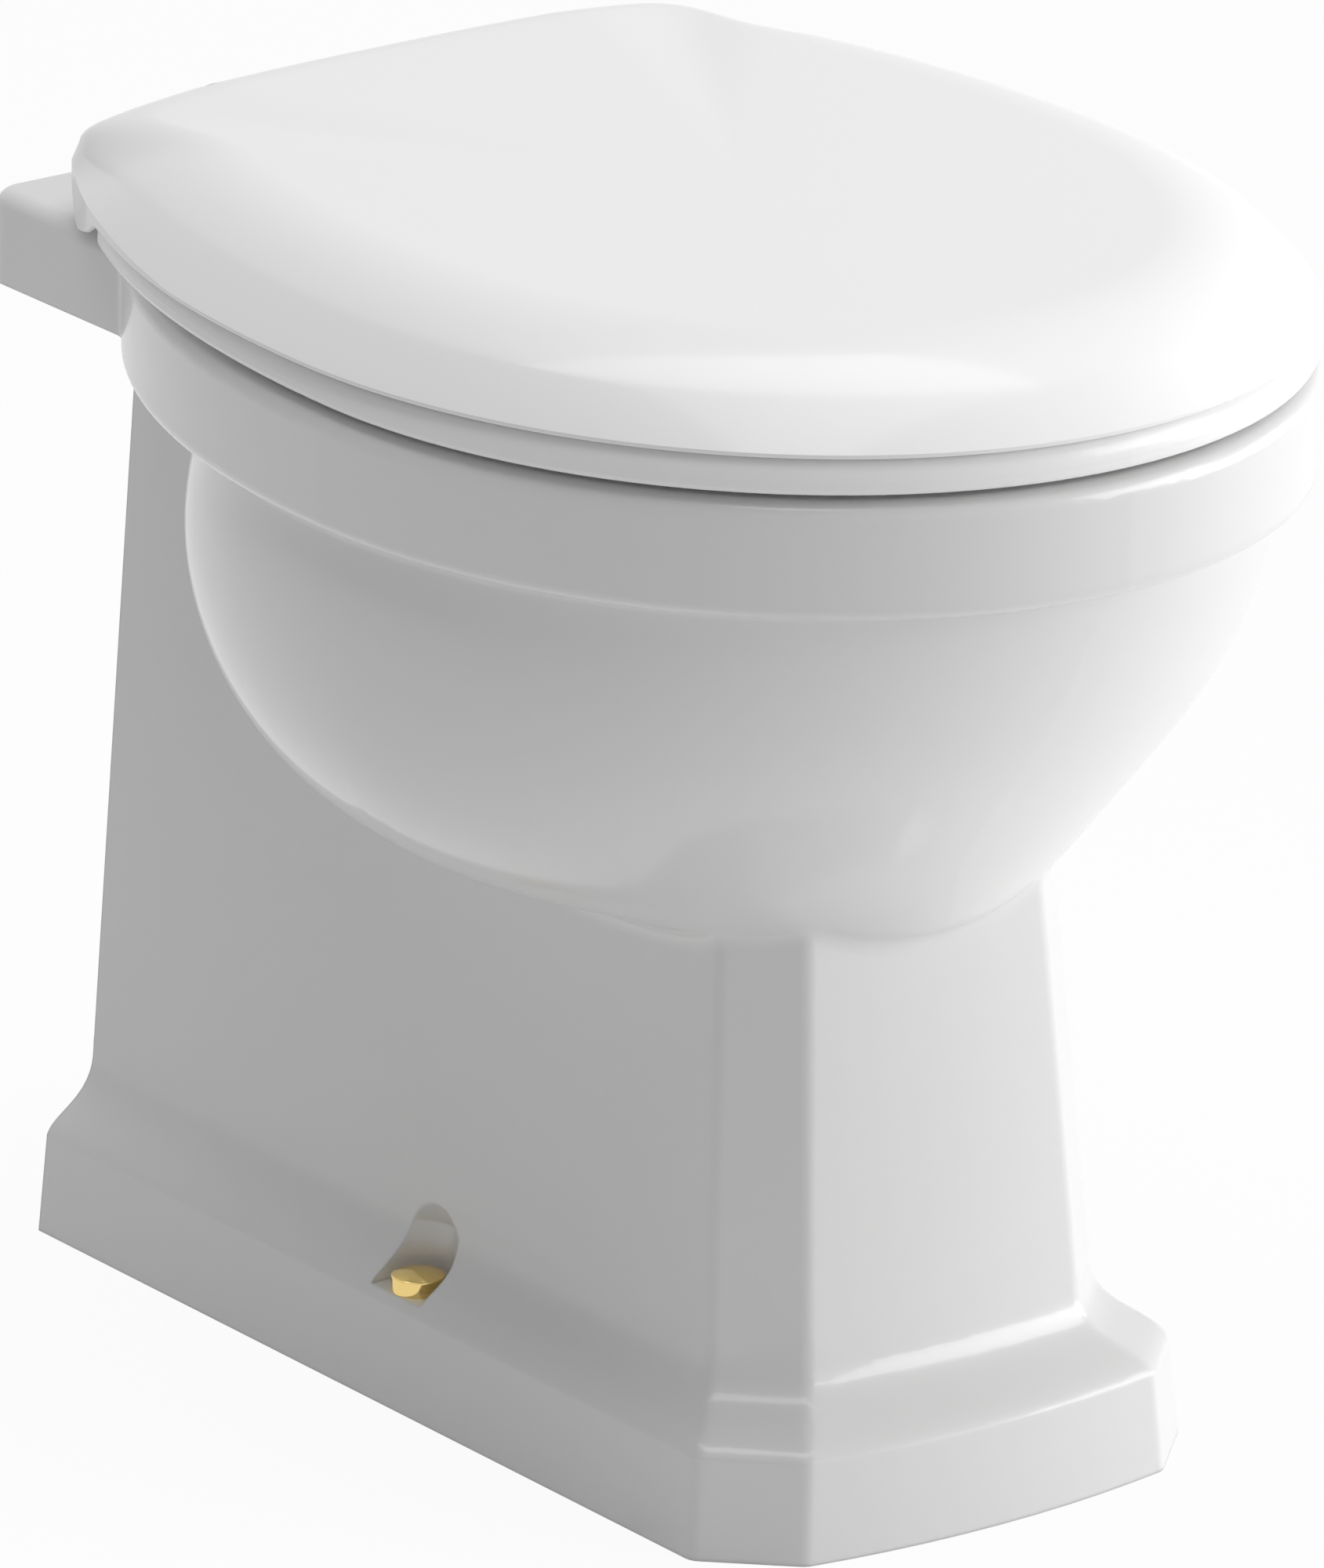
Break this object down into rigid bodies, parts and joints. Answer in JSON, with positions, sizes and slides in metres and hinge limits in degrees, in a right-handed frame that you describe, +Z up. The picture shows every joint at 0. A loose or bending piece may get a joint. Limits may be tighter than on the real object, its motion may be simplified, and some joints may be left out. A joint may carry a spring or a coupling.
{
  "type": "toilet",
  "caption": "White glazed back-to-wall toilet with a narrow pedestal, oval bowl, thick domed lid on soft-close hinges and brass floor caps.",
  "frame": {"origin": "floor level, centre of the width and of the depth", "axes": "x to the right seen from the front, y towards the wall, z up"},
  "size_m": [0.376, 0.489, 0.447],
  "materials": {
    "glaze": "glossy white vitreous glaze",
    "seat_plastic": "glossy white moulded plastic",
    "rubber": "matte light grey rubber",
    "nylon": "satin off-white nylon",
    "steel": "brushed stainless steel",
    "gold": "polished brass"
  },
  "bodies": {
    "pan": {"pan": "glaze", "trapway": "glaze", "hinge_gaskets": "rubber", "hinge_posts": "steel", "hinge_pins": "steel", "hinge_studs": "steel", "stud_bushes": "rubber", "stud_washers": "nylon", "wing_nuts": "nylon", "floor_screws": "steel", "floor_screw_sleeves": "nylon", "floor_screw_washers": "nylon", "cap_left": "gold", "cap_right": "gold"},
    "seat": {"seat_ring": "seat_plastic", "seat_buffers": "rubber", "seat_damper": "nylon", "seat_hinge_bush": "nylon"},
    "lid": {"lid": "seat_plastic", "lid_buffers": "rubber", "lid_damper": "nylon", "lid_hinge_bush": "nylon"}
  },
  "joints": [
    {"name": "seat_hinge", "type": "hinge", "parent": "pan", "child": "seat", "pos_m": [0, 0.1895, 0.428], "axis": [-1, 0, 0], "range_deg": [0, 90]},
    {"name": "lid_hinge", "type": "hinge", "parent": "seat", "child": "lid", "pos_m": [0, 0.1895, 0.428], "axis": [-1, 0, 0], "range_deg": [0, 95]}
  ]
}
